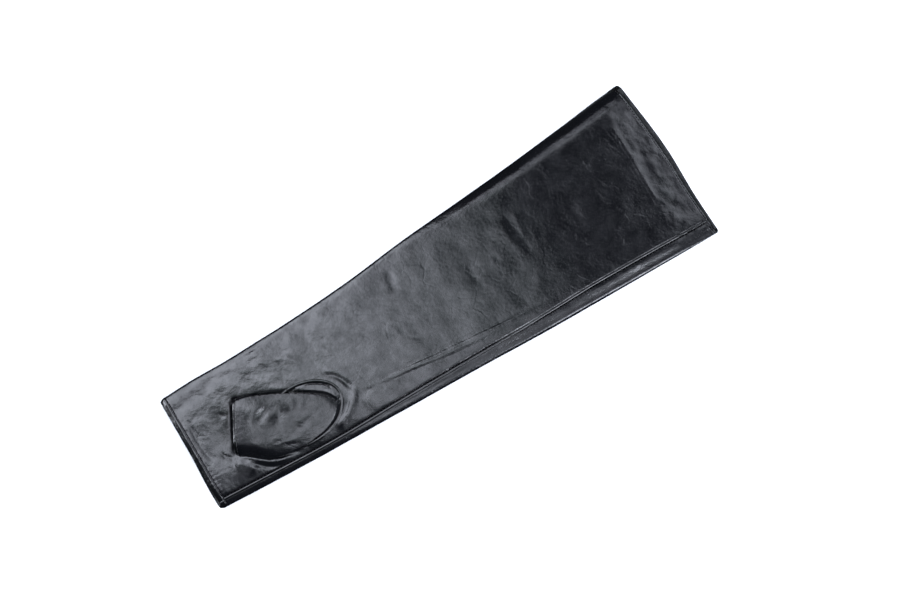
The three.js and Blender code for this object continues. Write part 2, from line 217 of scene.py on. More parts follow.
def look_up(rows, key, place, column):
    """The value of a table's column at places between its rows, along a smooth curve."""
    keys, values = rows[key], rows[column]
    last = len(keys) - 1
    row = np.clip(np.searchsorted(keys, place) - 1, 0, last - 1)
    share = np.clip((place - keys[row]) / (keys[row + 1] - keys[row]), 0, 1)
    before, start, end, after = (values[np.clip(row + step, 0, last)] for step in (-1, 0, 1, 2))
    slope_in, slope_out = (end - before) / 2, (after - start) / 2
    bend = 3 * (end - start) - 2 * slope_in - slope_out
    twist = slope_in + slope_out - 2 * (end - start)
    return start + share * (slope_in + share * (bend + share * twist))


def plain_edge(x):
    return look_up(OUTLINE, "x", x, "plain")


def seamed_edge(x):
    return -look_up(OUTLINE, "x", x, "seamed")


def seam_line(x):
    return seamed_edge(x) + look_up(OUTLINE, "x", x, "seam")


print("flat width at the hand:", round(float(plain_edge(-204.0) - seamed_edge(-204.0)), 1), "mm")

# %% [markdown]
# ## Folds and creases
# Leather that has been worn and pressed keeps soft folds, sharp creases and slow waves. Cloth
# simulation could make folds, but not these ones in these places. So each fold is a short path
# with a width and a height, negative for a groove, and the skin's height is their sum.

# %% Paths of the folds
FOLDS = (
    # half width, height, points along the fold
    (2.6, 0.55, ((-80, -16), (-74, -27), (-42, -32), (-14, -37), (30, -41), (71, -45))),
    (1.6, -0.5,
     ((-86, -23), (-59.4, -27.3), (-42.6, -28.9), (-21.8, -31.4), (4.7, -34.6), (40, -39.5), (71, -44))),
    (1.8, -0.42, ((-86, -27), (-57.8, -31.9), (-37.5, -35), (-13.5, -39.4), (12, -42))),
    (4.0, 0.7, ((-166, -35), (-172, -28), (-180, -22))),
    (4.6, -0.42, ((-204, 29), (-196, 30), (-184, 31.5), (-176, 31), (-168, 29))),
    (3.6, -0.36, ((-176, 36), (-166, 35), (-158, 34.5), (-150, 32), (-143, 28))),
    (3.4, -0.14, ((-140, 35), (-120, 36), (-95, 35), (-60, 36), (-35, 39))),
    (7.0, 0.12, ((17.6, 40), (6.8, -5))),
    (7.0, 0.28, ((62, 27), (61, 0))),
    (3.0, 0.35, ((177.2, 47), (175.6, 29.5), (175, 13.6), (173, -4.3), (171.3, -24.5), (168.2, -36.3))),
)
CREASES = (
    # the hollow round the end of the thumb hole, and the fold that rings it
    (1.6, -0.45, ((-100, -3), (-92, -6), (-87.5, -12), (-85, -19), (-85, -24))),
    (2.6, 0.7, ((-83, -20), (-85.5, -27), (-92, -33), (-101, -38), (-110, -41))),
    (1.3, -0.35, ((-90, -25), (-94, -31), (-101, -36))),
    # the skin that the thumb presses down along its upper fold and its mouth
    (1.8, -1.9, ((-163, 17), (-156.5, 14.2), (-148, 10.8), (-137, 6.2), (-127, 1.2), (-113, -5.5))),
    (2.1, -1.5, ((-155, 20), (-158.6, 13.5), (-166.5, -1), (-174, -15.5), (-177.5, -22))),
    # below the thumb
    (1.6, 0.7, ((-177, -21), (-170, -23), (-163, -30), (-157, -35.5), (-149, -38.5), (-138, -41))),
    (1.6, -0.6, ((-172, -28), (-165, -33), (-158, -38.5), (-149, -41.5))),
    (1.0, -0.45, ((-155, -34.6), (-144, -37.4), (-134, -39.6))),
    (1.4, -0.4, ((-183, -10), (-182.3, -15), (-179, -18.5), (-178.5, -22))),
    (2.2, -0.5, ((-190, 21), (-192, 10), (-192.2, 0), (-191, -11.7), (-190, -16))),
    # above the thumb
    (0.9, -0.22, ((-120.3, 25), (-118.5, 17), (-120.9, 10), (-124.2, 4.5))),
    (2.4, 0.18, ((-123.3, 23.2), (-114, 23), (-108, 17.3), (-103, 10.2))),
    (2.6, -0.18, ((-137.7, 33.4), (-126, 30.8), (-119.8, 29.1), (-107.5, 24.6))),
    (1.2, -0.25, ((-171.8, 13.5), (-170, 11), (-169.2, 8))),
    # across the wrist and forearm
    (0.7, -0.16, ((-58.5, 14.3), (-57.5, 7.2), (-52, -1), (-43, -10))),
    (0.7, -0.16, ((-46.5, 7.6), (-36, 1), (-33.5, -7), (-32, -12), (-26, -17), (-18, -19))),
    (3.0, -0.4, ((-18, 39), (-21, 28), (-23.4, 18.7))),
    (3.2, 0.09, ((26, 47), (24.3, 23), (23.8, 10.6), (24.5, -2))),
    (1.6, -0.16, ((31.5, 10), (30.9, 5), (29.5, -6))),
    (1.4, 0.12, ((35, -0.6), (34.5, -13.3))),
    (1.4, 0.14, ((54.4, 17), (53, 1.8))),
    (1.6, -0.18, ((50.6, 6), (51.5, -3))),
    (2.4, 0.1, ((68.6, 25), (67.2, 7), (69, -3))),
    (2.4, -0.12, ((72.3, 31), (73.8, 20), (74, 2.4), (74.6, -13))),
    (1.2, 0.10, ((80.4, 27), (77, 6.7), (75.5, 1.5))),
    (1.2, 0.10, ((85, 8.6), (81.3, -10.3))),
    (1.4, 0.12, ((111.6, 6.8), (114.7, -10.5))),
    (0.8, -0.4, ((174.8, 47), (173.4, 29.5), (172.9, 13.6), (171, -4.3), (169.3, -24.5), (166.5, -36))),
)
# the hollow in the palm that the end of the thumb lies in
BED = {"path": ((-169, -5), (-160, -10)), "width": 17.5, "height": -1.8}
WAVES = (
    # size, rise, seed, and how many times as high the wave is in the hand
    (38, 0.48, 3.1, 1.5),
    (17, 0.24, 7.7, 1.2),
    (9, 0.11, 11.2, 2.0),
    (5, 0.04, 17.3, 2.2),
    (3, 0.01, 41.0, 4.0),
)
# where the hand's higher waves begin to fade, and over what length
HAND_WAVES_END = (-90, 70)
ARM_RIPPLES = {"along": 8, "across": 55, "rise": 0.10, "seed": 23.1}
END_RIPPLES = {"along": 4, "across": 6, "rise": 0.24, "seed": 31.7}
# the line pressed across the arm near its end: the palm drops past it
PRINT_LINE = {"x": 173.4, "slant": 0.1, "drop": 1.6, "reach": 24.0}


def smooth(share):
    share = np.clip(share, 0, 1)
    return share * share * (3 - 2 * share)


def rises(x, start, length):
    """Smoothly from 0 to 1 over a length that begins at a start."""
    return smooth((x - start) / length)


def falls(x, end, length):
    """Smoothly from 1 to 0 over a length that stops at an end."""
    return smooth((end - x) / length)


def bell(distance, width):
    """A soft bump: 1 at no distance, and nothing a few widths away."""
    return np.exp(-((distance / width) ** 2))


def path_curve(points, steps=6):
    """More points along a path, on a smooth curve through the given ones."""
    points = np.array(points, float)
    rows = {"place": np.arange(len(points), dtype=float)}
    places = np.linspace(0, len(points) - 1, (len(points) - 1) * steps + 1)
    for axis in range(points.shape[1]):
        rows[axis] = points[:, axis]
    return np.stack([look_up(rows, "place", places, axis) for axis in range(points.shape[1])], -1)


def nearest_on_path(x, y, path):
    """How far points lie from a path, which side they are on, and how far along it they are."""
    away, side, along = np.full(x.shape, np.inf), np.ones(x.shape), np.zeros(x.shape)
    lengths = np.hypot(*np.diff(path, axis=0).T)
    travelled = np.concatenate([[0], np.cumsum(lengths)])
    for (x1, y1), (x2, y2), length, before in zip(path, path[1:], lengths, travelled):
        ux, uy = (x2 - x1) / length, (y2 - y1) / length
        run = np.clip((x - x1) * ux + (y - y1) * uy, 0, length)
        gap = np.hypot(x - x1 - run * ux, y - y1 - run * uy)
        nearer = gap < away
        away = np.where(nearer, gap, away)
        side = np.where(nearer, np.sign(ux * (y - y1) - uy * (x - x1)), side)
        along = np.where(nearer, (before + run) / travelled[-1], along)
    return away, side, along


def fold_height(x, y, width, height, points, taper=0.25):
    """The height of one fold at points of the skin. It fades towards both of its ends."""
    path = path_curve(points)
    reach = 3 * width
    near = (x > path[:, 0].min() - reach) & (x < path[:, 0].max() + reach)
    near &= (y > path[:, 1].min() - reach) & (y < path[:, 1].max() + reach)
    heights = np.zeros(x.shape)
    away, _, along = nearest_on_path(x[near], y[near], path)
    fade = smooth(np.minimum(along, 1 - along) / taper) if taper else 1
    heights[near] = height * fade * bell(away, width)
    return heights


def ripples(x, y, along, across, rise, seed):
    """Ripples of one size along the glove and another across it, the same on every run."""
    places = zip(x.ravel() / along, y.ravel() / across)
    values = [noise.noise(Vector((u, v, seed))) for u, v in places]
    return rise * np.reshape(values, x.shape)


def waves(x, y):
    """Slow waves of leather that lies loosely."""
    height = np.zeros(x.shape)
    in_hand = 1 - rises(x, *HAND_WAVES_END)
    for size, rise, seed, more in WAVES:
        height += (1 + (more - 1) * in_hand) * ripples(x, y, size, size, rise, seed)
    return height


def relief(x, y):
    """Everything that lifts or dents the palm."""
    height = waves(x, y) + fold_height(x, y, BED["width"], BED["height"], BED["path"], taper=0)
    # fine pleats across the arm, and crumpled leather past the pressed line
    height += ripples(x, y, **ARM_RIPPLES) * rises(x, -60, 40) * falls(x, 170, 40)
    height += ripples(x, y, **END_RIPPLES) * rises(x - PRINT_LINE["slant"] * y, 173, 5)
    for width, rise, points in FOLDS + CREASES:
        height += fold_height(x, y, width, rise, points)
    return height


print(len(FOLDS), "folds and", len(CREASES), "creases")

# %% [markdown]
# ## The skin's section
# Across the glove the skin runs from the side seam round one folded edge, flat along the table,
# round the other folded edge and back over the palm, which is a little crowned. A section is a
# list of columns, each of which knows its run. One function gives any point of the skin at any
# depth, so the outside, the lining side and the hems all come from it. Pressing has left the
# upper half of each folded edge squarer than a half circle. The hand's plain edge is firm and
# crisp, and along the worn arm that side rolls down to the table.

# %% The skin as a function
EDGES = {
    # the section's shape in the hand and in the arm (1 is round and less is squarer), how far the
    # arm's part leans down, and where the hand's shape begins to fade and over what length
    "plain": {"hand": 0.42, "arm": 1.0, "arm_lean": 2.0, "fade": (-5, 110)},
    "seamed": {"hand": 0.9, "arm": 0.5, "arm_lean": 0.3, "fade": (-120, 40)},
}
HAND_LEAN = {"drop": 0.75, "softness": 0.15}
# how far the plain side rolls down at distances from its folded edge, less where it is firm
EDGE_ROLL = table("away drop", (0, 2.9), (2, 1.75), (4, 1.07), (6, 0.68), (8, 0.29), (11, 0), (16, 0))
FIRM_EDGE = 0.75
ARM_SLOPE = {"from": 70.0, "to": 168.0, "drop": 1.6}
# folds and waves fade out towards the folded edges, further out on the plain side
RELIEF_FADE = {"length": SHOULDER / 3, "plain_start": 2}
# small puckers that the hand hem's stitches pull into the palm
PUCKER = {"pitch": 3.1, "height": 0.08, "reach": 4.5, "from": -40, "rise": 6, "to": -17, "fall": 8}
SEAM_GROOVE = {"width": 1.1, "depth": 0.9}
HEM_GROOVE = 0.3


def palm_height(x, y):
    """The outer surface of the palm above the table."""
    from_plain = np.clip(plain_edge(x) - FOLD_RADIUS - y, 0, SHOULDER)
    from_seamed = np.clip(y - seamed_edge(x) - FOLD_RADIUS, 0, SHOULDER)
    crown = CROWN * (1 - (1 - from_seamed / SHOULDER) ** 2)
    firm = FIRM_EDGE * (1 - rises(x, *EDGES["plain"]["fade"]))
    rolled_off = (1 - firm) * look_up(EDGE_ROLL, "away", from_plain, "drop")
    past_print = (x - PRINT_LINE["x"] - PRINT_LINE["slant"] * y) / PRINT_LINE["reach"]
    along_arm = (x - ARM_SLOPE["from"]) / (ARM_SLOPE["to"] - ARM_SLOPE["from"])
    flat = 2 * FOLD_RADIUS + crown - rolled_off
    flat -= PRINT_LINE["drop"] * np.clip(past_print, 0, 1)
    flat -= ARM_SLOPE["drop"] * np.clip(along_arm, 0, 1)
    fade = smooth(np.minimum(from_plain + RELIEF_FADE["plain_start"], from_seamed) / RELIEF_FADE["length"])
    groove = SEAM_GROOVE["depth"] * bell(y - seam_line(x), SEAM_GROOVE["width"])
    from_hem = x - look_up(MOUTHS, "y", y, "palm_hand") - HAND_HEM
    window = rises(y, PUCKER["from"], PUCKER["rise"]) * falls(y, PUCKER["to"], PUCKER["fall"])
    pucker = np.sin(2 * np.pi * y / PUCKER["pitch"]) * bell(from_hem, PUCKER["reach"])
    return flat + relief(x, y) * fade - groove + PUCKER["height"] * window * pucker


FOLD_STEPS, BACK_STEPS, PALM_STEPS, STRIP_STEPS = 20, 8, 100, 5
NEAR_SEAM = [0.010, 0.006, 0.003, 0.0]


def section_columns():
    """The columns of the section: the run, the place in it, and how much it follows the palm."""
    columns = []
    for step in range(STRIP_STEPS):
        columns.append(("strip", step / STRIP_STEPS, 1.0))
    for step in range(FOLD_STEPS + 1):
        columns.append(("seamed", math.pi * (0.5 - step / FOLD_STEPS), 1 - smooth(step / FOLD_STEPS)))
    for step in range(1, BACK_STEPS):
        columns.append(("back", step / BACK_STEPS, 0.0))
    for step in range(FOLD_STEPS + 1):
        columns.append(("plain", math.pi * (step / FOLD_STEPS - 0.5), smooth(step / FOLD_STEPS)))
    for share in [1 - step / PALM_STEPS for step in range(1, PALM_STEPS - 1)] + NEAR_SEAM:
        columns.append(("palm", share, 1.0))
    return columns


COLUMNS = section_columns()
FOLLOWS_PALM = np.array([column[2] for column in COLUMNS])


def pressed_fold(edge, x, side, up):
    """The upper half of a folded edge: how far out and up it is, and how far it leans down."""
    in_hand = 1 - rises(x, *edge["fade"])
    shape = edge["arm"] + (edge["hand"] - edge["arm"]) * in_hand
    side, up = side ** shape, up ** shape
    hand_lean = HAND_LEAN["drop"] * in_hand * side * side / (side + HAND_LEAN["softness"])
    return side, up, hand_lean + edge["arm_lean"] * (1 - in_hand) * side


def skin(places, depth):
    """Points of the skin for rows of places along the glove, one for each column, at a depth."""
    depth = np.broadcast_to(depth, places.shape)
    points = np.empty(places.shape + (3,))
    points[..., 0] = places
    for index, (run, place, _) in enumerate(COLUMNS):
        x, radius = places[:, index], FOLD_RADIUS - depth[:, index]
        plain_centre, seamed_centre = plain_edge(x) - FOLD_RADIUS, seamed_edge(x) + FOLD_RADIUS
        if run == "back":
            points[:, index, 1] = seamed_centre + (plain_centre - seamed_centre) * place
            points[:, index, 2] = depth[:, index]
        elif run in ("plain", "seamed"):
            centre, out = (plain_centre, 1) if run == "plain" else (seamed_centre, -1)
            side, up = abs(math.cos(place)), math.sin(place)
            rise = radius
            if up > 0:
                side, up, lean = pressed_fold(EDGES[run], x, side, up)
                rise = palm_height(x, centre) - depth[:, index] - FOLD_RADIUS - lean
            points[:, index, 1] = centre + out * radius * side
            points[:, index, 2] = FOLD_RADIUS + rise * up
        else:
            edge = seam_line(x) + (SLOT / 2 if run == "palm" else -SLOT / 2)
            far = plain_centre if run == "palm" else seamed_centre
            points[:, index, 1] = edge + (far - edge) * place
    top = [index for index, column in enumerate(COLUMNS) if column[0] in ("palm", "strip")]
    points[:, top, 2] = palm_height(points[:, top, 0], points[:, top, 1]) - depth[:, top]
    return points


def mouth(end):
    """Where each column of the section meets the hand or the arm mouth."""
    middle = np.full((1, len(COLUMNS)), MOUTHS[f"palm_{end}"][2])
    y = skin(middle, 0.0)[0, :, 1]
    back, palm = (look_up(MOUTHS, "y", y, f"{side}_{end}") for side in ("back", "palm"))
    return back + (palm - back) * FOLLOWS_PALM


HAND_MOUTH, ARM_MOUTH = mouth("hand"), mouth("arm")
print(len(COLUMNS), "columns; hand mouth at", round(float(HAND_MOUTH.min()), 1), "mm")

# %% [markdown]
# ## From rows of points to a mesh
# Every leather piece here is a grid of points that closes on itself, so one helper turns rows of
# points into a smooth, closed mesh. The sign of its volume tells whether the faces look outwards,
# so a piece that comes out inside out is turned round at once.

# %% Mesh helpers
SHARP = math.radians(50)


def closed_object(name, points, faces):
    """A closed mesh object from points in millimetres, with its faces turned outwards."""
    points = np.asarray(points, float).reshape(-1, 3) * MM
    mesh = bpy.data.meshes.new(name)
    mesh.from_pydata(points.tolist(), [], faces)
    mesh.update()
    made = place_object(name, mesh)
    if volume(mesh) < 0:
        mesh.flip_normals()
    shade(mesh)
    return made


def volume(mesh):
    """The signed volume of a closed mesh in cubic metres."""
    mesh.calc_loop_triangles()
    places = np.empty(len(mesh.vertices) * 3)
    mesh.vertices.foreach_get("co", places)
    places = places.reshape(-1, 3)
    corners = np.empty(len(mesh.loop_triangles) * 3, int)
    mesh.loop_triangles.foreach_get("vertices", corners)
    a, b, c = (places[corners.reshape(-1, 3)[:, i]] for i in range(3))
    return float(np.einsum("ij,ij->i", a, np.cross(b, c)).sum() / 6)


def shade(mesh):
    """Smooth shading, with the edges of cut leather kept crisp."""
    mesh.shade_smooth()
    mesh.set_sharp_from_angle(angle=SHARP)


def grid_faces(rows, columns, wrap_rows=True):
    """Quads between rows of points that each close on themselves."""
    strips = rows if wrap_rows else rows - 1
    row, column = np.meshgrid(np.arange(strips), np.arange(columns), indexing="ij")
    after, beside = (row + 1) % rows, (column + 1) % columns
    corners = ((row, column), (row, beside), (after, beside), (after, column))
    return np.stack([down * columns + across for down, across in corners], -1).reshape(-1, 4).tolist()


def keep_result(made):
    """Replaces an object's mesh with what its modifiers make of it."""
    result = bpy.data.meshes.new_from_object(made.evaluated_get(bpy.context.evaluated_depsgraph_get()))
    made.modifiers.clear()
    made.data = result


def report(made):
    """Prints a piece's size and how many triangles it has."""
    made.data.calc_loop_triangles()
    print(f"{made.name}: {len(made.data.loop_triangles)} triangles, {volume(made.data) * 1e9:.0f} mm3")
    return made


# %% [markdown]
# ## The sleeve
# The hand and arm are one skin, wrapped round and closed by the side seam. Its rows stand closest
# round the thumb, where the folds are finest, and at both ends, where the hem's stitches draw the
# leather down into a groove.

# %% Sleeve
# from x, to x and the number of rows between them
ZONES = ((-196.5, -78.0, 128), (-78.0, 196.0, 166))
# the hairline between a hem and the skin, and the rows close to it
HEM_GAP = 0.12
END_STEPS = (0, 0.35, 0.75)
NEXT_ROW = 0.3


def stations():
    """Places of the rows along the skin, as shares of its length."""
    start, end = ZONES[0][0], ZONES[-1][1]
    places = [start + step for step in END_STEPS] + [end - step for step in END_STEPS]
    for first, last, steps in ZONES:
        rows = [first + (last - first) * step / steps for step in range(steps)]
        places += [x for x in rows if x > start + END_STEPS[-1] + NEXT_ROW]
    return (np.sort(places) - start) / (end - start)


def sleeve_wall():
    """The skin as a closed wall, from its outer and inner points."""
    share = stations()
    starts, ends = HAND_MOUTH + HAND_HEM + HEM_GAP, ARM_MOUTH - ARM_HEM - HEM_GAP
    places = starts + share[:, None] * (ends - starts)
    outer, inner = skin(places, 0.0), skin(places, LEATHER)
    outer[[0, -1], :, 2] -= HEM_GROOVE * FOLLOWS_PALM
    rows = np.concatenate([outer, inner[:, ::-1]], 1)
    count = rows.shape[1]
    faces = grid_faces(len(rows), count, wrap_rows=False)
    for step in range(len(COLUMNS) - 1):
        across = count - 1 - step
        faces.append([step, across, across - 1, step + 1])
        last = (len(rows) - 1) * count
        faces.append([last + step, last + step + 1, last + across - 1, last + across])
    return closed_object("leather_sleeve", rows, faces)


sleeve = report(sleeve_wall())

# %% [markdown]
# ## The thumb hole
# The hole is cut after the skin is made, as it is on the real glove. A Boolean with the fast
# manifold solver cuts both faces of the leather along one clean oval. The rolled rim covers the
# cut, so its small triangles never show.

# %% Cut the thumb hole
HOLE_CUT = 0.5
HOLE_STEPS = 120


def hole_points(angles, offset):
    """The outline of the thumb hole, moved outwards by an offset."""
    across, along = HOLE["half_width"] * np.cos(angles), HOLE["half_length"] * np.sin(angles)
    length = np.hypot(across, along)
    x = HOLE["x"] + HOLE["half_length"] * np.cos(angles) + offset * across / length
    y = HOLE["y"] + HOLE["half_width"] * np.sin(angles) + offset * along / length
    return x, y


def turns(count):
    return 2 * np.pi * np.arange(count) / count


def cut_hole(piece):
    x, y = hole_points(turns(HOLE_STEPS), HOLE_CUT)
    rows = [np.stack([x, y, np.full_like(x, z)], -1) for z in (FOLD_RADIUS, 4 * FOLD_RADIUS)]
    lids = [list(range(HOLE_STEPS))[::-1], list(range(HOLE_STEPS, 2 * HOLE_STEPS))]
    faces = grid_faces(2, HOLE_STEPS, wrap_rows=False) + lids
    plug = closed_object("plug", np.concatenate(rows), faces)
    cut = piece.modifiers.new("thumb_hole", "BOOLEAN")
    cut.object, cut.operation, cut.solver = plug, "DIFFERENCE", "MANIFOLD"
    keep_result(piece)
    bpy.data.objects.remove(plug)
    shade(piece.data)


cut_hole(sleeve)
report(sleeve)

# %% [markdown]
# ## The hems
# At each mouth the leather turns in over itself and is stitched down. The strip puffs up beside
# the stitches and falls off towards its rounded edge. The section of a hem is a short profile,
# and sweeping it round the mouth's columns gives the whole ring.

# %% Hand and arm hems
PUFF = 0.25
LEAF = 5.0
FALL_OFF = {"lean": 1.15, "power": 2.2}
# two layers of leather with a little air between them, and how far their round edge is blunted
TURNED = 2 * LEATHER + 0.3
BLUNT = 0.98


def swelling(share):
    """A hem's swelling from its edge to its stitches. The powers make it full near the stitches."""
    return max(0.0, math.sin(math.pi * share ** 1.8)) ** 0.7


def hem_profile(width, leaf, puff, lean, power=1, steps=10):
    """A hem's section: how far in from the mouth, and how deep below the outer surface."""
    round_edge = TURNED / 2
    first = math.acos(1 - lean / round_edge)
    turned = np.linspace(first, math.pi, steps + 1)[:-1]
    edge = [(round_edge * (1 - math.sin(a) * BLUNT), round_edge * (1 - math.cos(a))) for a in turned]
    start = edge[0][0]
    strip = []
    for s in np.linspace(1, 0, steps):
        # the stitches' groove is narrow, so its power is high
        depth = lean * (1 - s) ** power + HEM_GROOVE * s ** 8 - puff * swelling(s)
        strip.append((start + (width - start) * s, depth))
    under, over = TURNED, TURNED - LEATHER
    leaf_end = [(round_edge, under), (width + leaf, under), (width + leaf, over), (width, over)]
    return strip + edge[1:] + leaf_end


def sleeve_hem(name, edge, inwards, width):
    inward, depth = np.array(hem_profile(width, LEAF, PUFF, **FALL_OFF)).T[:, :, None]
    rows = skin(edge + inwards * inward, np.where(depth < 0, depth * FOLLOWS_PALM, depth))
    return closed_object(name, rows, grid_faces(rows.shape[0], rows.shape[1]))


hand_hem = report(sleeve_hem("hand_edge_hem", HAND_MOUTH, 1, HAND_HEM))
arm_hem = report(sleeve_hem("arm_edge_hem", ARM_MOUTH, -1, ARM_HEM))

# %% [markdown]
# ## The thumb
# The thumb is a short tube sewn into the hole, pressed flat and folded over the palm. Each of its
# cross sections has a top, an underside and two folded sides. The table follows the tube from the
# hole to its mouth, and squarer sections near the mouth give it the flat top and steep sides of
# pressed leather.

# %% Thumb sections
THUMB = table(
    "place top_x top_y top_z under_x under_y under_z up_x up_y up_z low_x low_y low_z bow low_bow",
    (0, -97.3, -20, 10.6, -151, -18.6, 9.9, -120, -2.6, 10.7, -124, -37.7, 10.9, 1, 1.0),
    (1, -104, -20.5, 11.8, -152.2, -17.8, 9.8, -118, -4, 12.0, -129, -38.3, 11.0, 0.95, 1.2),
    (2, -116, -19, 13.2, -153.6, -16.6, 9.6, -124.5, 0.3, 13.0, -136, -37.9, 11.0, 0.9, 1.3),
    (3, -130, -16, 14.5, -156, -14.6, 9.4, -133, 4.8, 13.6, -145, -36.5, 11.4, 0.85, 1.2),
    (4, -143.5, -11.4, 15.9, -159.2, -11.8, 9, -142, 8.9, 13.4, -155, -33, 11.4, 0.8, 0.75),
    (5, -155.5, -6, 17.9, -163.4, -7.2, 8.7, -150.4, 12.2, 13.3, -165.5, -25.4, 11.6, 0.75, 0.28),
    (6, -166, -0.9, 18.2, -168.5, -2.3, 8.6, -157.6, 14.4, 13.2, -175, -17.2, 11.6, 0.7, 0.22),
)
THUMB_MOUTH = 6.0
HIGH_SIDE_BOW = 0.62
# the low side leans in towards the top near the mouth
LOW_SIDE = {"lean": 0.16, "from": 3.6, "length": 2}


def thumb_corner(name, place):
    return np.stack([look_up(THUMB, "place", place, f"{name}_{axis}") for axis in "xyz"], -1)


def shortened(arrow, depth):
    length = np.linalg.norm(arrow, axis=-1, keepdims=True)
    return arrow * (length - depth) / length


def squarish(angle, bow):
    """How far out and up a rounded square is in a direction. A bow of 1 makes it a circle."""
    power = 2 / bow
    size = (np.abs(np.sin(angle)) ** power + np.abs(np.cos(angle)) ** power) ** (-1 / power)
    return np.sin(angle) * size, np.abs(np.cos(angle)) * size


def thumb_skin(place, angle, depth):
    """A point of the thumb: the place along it, the angle round it from the top, and the depth."""
    place, angle = np.broadcast_arrays(np.asarray(place, float), np.asarray(angle, float))
    up, low = thumb_corner("up", place), thumb_corner("low", place)
    centre = (up + low) / 2
    top, under = thumb_corner("top", place), thumb_corner("under", place)
    ridge = np.where(np.cos(angle)[..., None] >= 0, top, under)
    bow = np.interp(place, THUMB["place"], THUMB["bow"])
    low_top = (np.sin(angle) < 0) & (np.cos(angle) > 0)
    high_top = (np.sin(angle) >= 0) & (np.cos(angle) > 0)
    low_bow = look_up(THUMB, "place", place, "low_bow")
    side_bow = np.where(low_top, low_bow, np.where(high_top, bow * HIGH_SIDE_BOW, bow))
    across, upwards = squarish(angle, side_bow)
    lean = LOW_SIDE["lean"] * rises(place, LOW_SIDE["from"], LOW_SIDE["length"])
    sideways = across * (1 - lean * upwards * low_top)
    half, rise = shortened(up - centre, depth), shortened(ridge - centre, depth)
    return centre + half * sideways[..., None] + rise * upwards[..., None]


def thumb_place(angle, inward):
    """The place along the thumb that lies a distance in from its mouth."""
    end, before = thumb_skin(THUMB_MOUTH, angle, 0), thumb_skin(THUMB_MOUTH - 1, angle, 0)
    return THUMB_MOUTH - inward / np.linalg.norm(end - before, axis=-1)


mouth_width = np.linalg.norm(thumb_corner("up", THUMB_MOUTH) - thumb_corner("low", THUMB_MOUTH))
print("thumb mouth is", round(float(mouth_width), 1), "mm wide")

# %% [markdown]
# ## Folds of the thumb
# Near the hole the pressed thumb folds over itself: a thin sliver stays flat inside the rim, and
# past a sharp crease the upper layer rises. That step, and the soft diagonal folds on top, are
# paths seen from above, as on the palm.

# %% Thumb tube
STEP_PATH = (
    (-146, 10), (-134, 4.3), (-125, -0.6), (-116.6, -5.6),
    (-108.4, -11.2), (-102.4, -16.4), (-99.5, -21.5), (-99, -26),
)
THUMB_FOLDS = (
    (3.4, 0.62, ((-158, -2), (-148.4, 0.6), (-139.6, 1.6), (-134, 0.8))),
    (3.0, -0.70, ((-157, -9), (-148.5, -6.5), (-140.4, -4.4), (-133, -2))),
    (3.4, 0.62, ((-153.3, -14.5), (-146, -11.5), (-138, -9.5))),
    (3.0, -0.60, ((-146, -17), (-138, -13.5), (-129.8, -4))),
    (3.0, 0.45, ((-131.5, -13.5), (-125.2, -9.5), (-120, -7))),
    (2.4, -0.33, ((-122, -17), (-114, -13.5), (-108, -13))),
    (1.5, -0.25, ((-147.7, -25.9), (-143.3, -30.6), (-137.7, -33.3), (-132.8, -36.4))),
    (1.6, 0.38, ((-153, -22), (-146, -28), (-139, -30.8), (-128, -32))),
    (0.8, -0.30, ((-128, 0), (-134, -4.3), (-141, -8))),
    (2.2, -0.38, ((-133, -24), (-122, -25), (-112, -22))),
    (1.2, -0.2, ((-131, -20), (-126, -26), (-122, -28))),
    (1.4, -0.38, ((-150, -24), (-146, -27), (-142, -28))),
)
# the sliver between the step and the rim lies flat, and the layer on the other side swells up
SLIVER = {"below_palm": 0.2, "from": -0.3, "length": 0.6}
SWELL = {"height": 0.3, "inside": 3.2, "width": 5.0}
CREASE = {"depth": 1.6, "from": -2.8, "length": 2.2}
GUTTER = {"depth": 0.5, "from_rim": 1.2, "width": 0.5}
# where the thumb leaves the hole's folds behind, and where its own fade out before the hem
HOLE_FOLDS_END = (-150, 16)
THUMB_FOLDS_END = (-172, 8)
# the tube's root lies under the edge of the hole, with air between, and comes up inside it
COLLAR = {"out": 2.4, "in": -0.8, "lining": -1.8, "top": 0.5, "air": 0.4}
AROUND, ALONG = 240, 120


def thumb_relief(points, cosine):
    """Lifts and dents the upper layer of the thumb, seen from above."""
    x, y = points[..., 0], points[..., 1]
    change = np.zeros(x.shape)
    for width, rise, path in THUMB_FOLDS:
        change += fold_height(x, y, width, rise, path, taper=0.5)
    # folds fade out over the folded sides, and the step goes a little way down them
    change *= smooth(cosine * 2.5) * rises(x, *THUMB_FOLDS_END)
    near_hole = rises(x, *HOLE_FOLDS_END) * smooth(cosine * 6 + 1)
    away, side, _ = nearest_on_path(x, y, path_curve(STEP_PATH))
    inside = -away * side
    step = 1 - rises(inside, SLIVER["from"], SLIVER["length"])
    swell = SWELL["height"] * near_hole * bell(inside - SWELL["inside"], SWELL["width"])
    flat = palm_height(x, y) - SLIVER["below_palm"] - points[..., 2] - swell
    crease = CREASE["depth"] * near_hole * rises(inside, CREASE["from"], CREASE["length"]) * step
    across, along = (x - HOLE["x"]) / HOLE["half_length"], (y - HOLE["y"]) / HOLE["half_width"]
    to_rim = (1 - np.hypot(across, along)) * HOLE["half_width"]
    gutter = GUTTER["depth"] * near_hole * step * bell(to_rim - GUTTER["from_rim"], GUTTER["width"])
    return swell + flat * step * near_hole - crease - gutter + change


